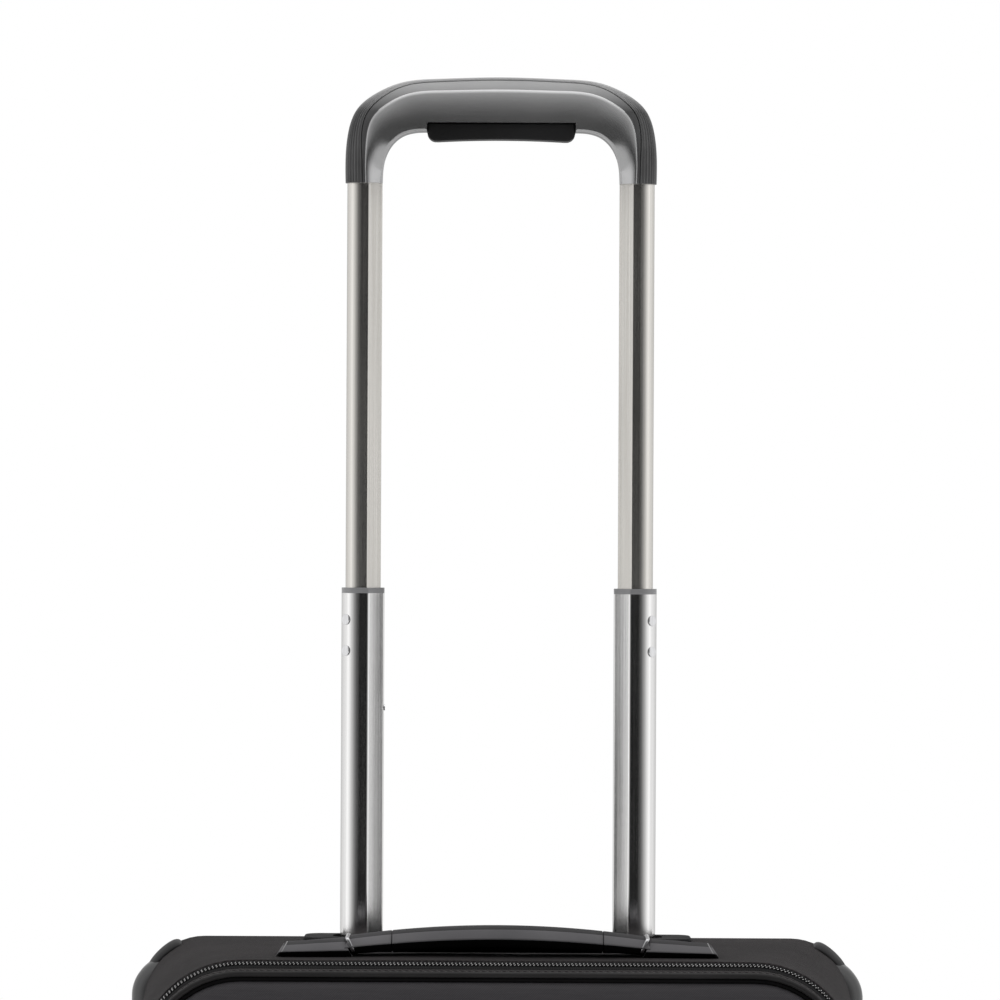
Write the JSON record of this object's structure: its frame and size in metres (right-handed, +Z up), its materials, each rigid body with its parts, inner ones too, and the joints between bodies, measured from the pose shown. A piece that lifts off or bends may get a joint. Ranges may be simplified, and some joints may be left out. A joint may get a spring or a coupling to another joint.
{
  "type": "softside upright suitcase",
  "caption": "Softside two-wheeled upright suitcase with a telescoping pull handle, a zipped front lid with flat pockets, and carry handles on the top and side.",
  "frame": {"origin": "on the floor, under the middle of the case", "axes": "+Z up, -Y towards the case's front panel, +X towards its left when facing the case's front with the pull handle behind"},
  "size_m": [0.3776, 0.2297, 1.0149],
  "materials": {
    "fabric_black": "tight diagonal weave",
    "fabric_panel": "smooth coated",
    "lining_grey": "plain woven",
    "welt_black": "semi-matte",
    "frame_board": "plain sheet",
    "moulded_black": "fine grained",
    "guard_gloss": "polished moulding",
    "zipper_tape": "woven tape with a coil",
    "slider_metal": "polished",
    "tube_mid": "polished, brushed along its length",
    "tube_upper": "satin champagne silver",
    "tube_inner": "mill finish",
    "steel": "zinc plated",
    "chrome": "bright",
    "collar_smoke": "translucent smoke",
    "grip_grey": "satin metallic grey",
    "grip_rubber": "finely ribbed",
    "button_black": "matte",
    "handle_soft": "soft matte",
    "wheel_hub": "moulded",
    "tyre": "solid urethane"
  },
  "bodies": {
    "case": {"outer_cover": "fabric_black", "frame_shell": "frame_board", "lining": "lining_grey", "handle_bezel": "moulded_black", "outer_tube_left": "tube_inner", "outer_tube_right": "tube_inner", "tube_foot_bracket": "moulded_black", "base_screws": "steel", "rear_piping": "welt_black", "corner_guard_left": "guard_gloss", "corner_guard_right": "guard_gloss", "shoulder_pads": "moulded_black", "wheel_housing_left": "moulded_black", "wheel_housing_right": "moulded_black", "wheel_axles": "steel", "front_foot_left": "moulded_black", "front_foot_right": "moulded_black", "top_handle_cap_left": "moulded_black", "top_handle_cap_right": "moulded_black", "top_handle_links": "chrome", "side_handle_caps": "moulded_black", "case_zipper_chain": "zipper_tape"},
    "lid": {"lid_panel": "fabric_black", "lid_zipper_chain": "zipper_tape", "lid_piping": "welt_black", "front_panel": "fabric_panel", "front_pocket": "fabric_panel", "pocket_zipper_chains": "zipper_tape"},
    "lower_stage": {"mid_tube_left": "tube_mid", "mid_tube_right": "tube_mid", "tube_collars": "collar_smoke", "collar_rivets": "steel", "mid_tube_plugs": "moulded_black"},
    "upper_stage": {"grip_shell": "grip_grey", "grip_band": "grip_rubber", "upper_tube_left": "tube_upper", "upper_tube_right": "tube_upper", "lock_blocks": "moulded_black", "button_springs": "steel"},
    "button": {"release_button": "button_black"},
    "yoke": {"release_yoke": "steel"},
    "pins": {"lock_pins": "steel"},
    "left_wheel": {"wheel_hub_left": "wheel_hub", "tyre_left": "tyre", "wheel_bearings_left": "steel"},
    "right_wheel": {"wheel_hub_right": "wheel_hub", "tyre_right": "tyre", "wheel_bearings_right": "steel"},
    "top_handle": {"top_handle_grip": "handle_soft"},
    "side_handle": {"side_handle_grip": "handle_soft"},
    "upper_slider": {"main_slider_upper": "slider_metal"},
    "upper_slider_pull": {"main_slider_upper_pull": "slider_metal"},
    "lower_slider": {"main_slider_lower": "slider_metal"},
    "lower_slider_pull": {"main_slider_lower_pull": "slider_metal"},
    "front_slider": {"front_pocket_slider": "slider_metal"},
    "front_slider_pull": {"front_pocket_slider_pull": "slider_metal"},
    "top_pocket_slider": {"upper_pocket_slider": "slider_metal"},
    "top_pocket_slider_pull": {"upper_pocket_slider_pull": "slider_metal"}
  },
  "joints": [
    {"name": "lower_stage_slide", "type": "slide", "parent": "case", "child": "lower_stage", "axis": [0, 0, 1], "range_m": [-0.226, 0]},
    {"name": "upper_stage_slide", "type": "slide", "parent": "lower_stage", "child": "upper_stage", "axis": [0, 0, 1], "range_m": [-0.2032, 0]},
    {"name": "release_button_press", "type": "slide", "parent": "upper_stage", "child": "button", "axis": [0, 0, 1], "range_m": [0, 0.004], "stiffness_N_per_m": 700, "springref_m": -0.002, "deforming": ["button_springs"]},
    {"name": "release_yoke_slide", "type": "slide", "parent": "upper_stage", "child": "yoke", "axis": [0, 0, 1], "range_m": [0, 0.004]},
    {"name": "lock_pin_slide", "type": "slide", "parent": "upper_stage", "child": "pins", "axis": [0, -1, 0], "range_m": [0, 0.002]},
    {"name": "left_wheel_spin", "type": "hinge", "parent": "case", "child": "left_wheel", "pos_m": [-0.158, 0.0795, 0.035], "axis": [1, 0, 0], "continuous": true},
    {"name": "right_wheel_spin", "type": "hinge", "parent": "case", "child": "right_wheel", "pos_m": [0.158, 0.0795, 0.035], "axis": [1, 0, 0], "continuous": true},
    {"name": "lid_hinge", "type": "hinge", "parent": "case", "child": "lid", "pos_m": [0, -0.08815, 0.045], "axis": [1, 0, 0], "range_deg": [0, 90]},
    {"name": "top_handle_lift", "type": "slide", "parent": "case", "child": "top_handle", "axis": [0, 0, 1], "range_m": [0, 0.012]},
    {"name": "side_handle_lift", "type": "slide", "parent": "case", "child": "side_handle", "axis": [1, 0, 0], "range_m": [0, 0.012], "stiffness_N_per_m": 120},
    {"name": "upper_slider_travel", "type": "slide", "parent": "case", "child": "upper_slider", "axis": [0, 0, 1], "range_m": [-0.006, 0.19]},
    {"name": "upper_slider_pull_swing", "type": "hinge", "parent": "upper_slider", "child": "upper_slider_pull", "pos_m": [0.1823, -0.08815, 0.312], "axis": [0, -1, 0], "range_deg": [0, 150]},
    {"name": "lower_slider_travel", "type": "slide", "parent": "case", "child": "lower_slider", "axis": [0, 0, 1], "range_m": [-0.13, 0.003]},
    {"name": "lower_slider_pull_swing", "type": "hinge", "parent": "lower_slider", "child": "lower_slider_pull", "pos_m": [0.1823, -0.08815, 0.264], "axis": [0, -1, 0], "range_deg": [0, 150]},
    {"name": "front_pocket_slider_travel", "type": "slide", "parent": "lid", "child": "front_slider", "axis": [1, 0, 0], "range_m": [-0.226, 0.006]},
    {"name": "front_pocket_pull_swing", "type": "hinge", "parent": "front_slider", "child": "front_slider_pull", "pos_m": [0.112, -0.1137, 0.399], "axis": [-1, 0, 0], "range_deg": [0, 150]},
    {"name": "upper_pocket_slider_travel", "type": "slide", "parent": "lid", "child": "top_pocket_slider", "axis": [1, 0, 0], "range_m": [-0.226, 0.006]},
    {"name": "upper_pocket_pull_swing", "type": "hinge", "parent": "top_pocket_slider", "child": "top_pocket_slider_pull", "pos_m": [0.112, -0.1137, 0.5145], "axis": [-1, 0, 0], "range_deg": [0, 150]}
  ],
  "couplings": [
    {"joint": "release_yoke_slide", "follows": "release_button_press", "ratio": 1},
    {"joint": "lock_pin_slide", "follows": "release_button_press", "ratio": 0.5}
  ]
}
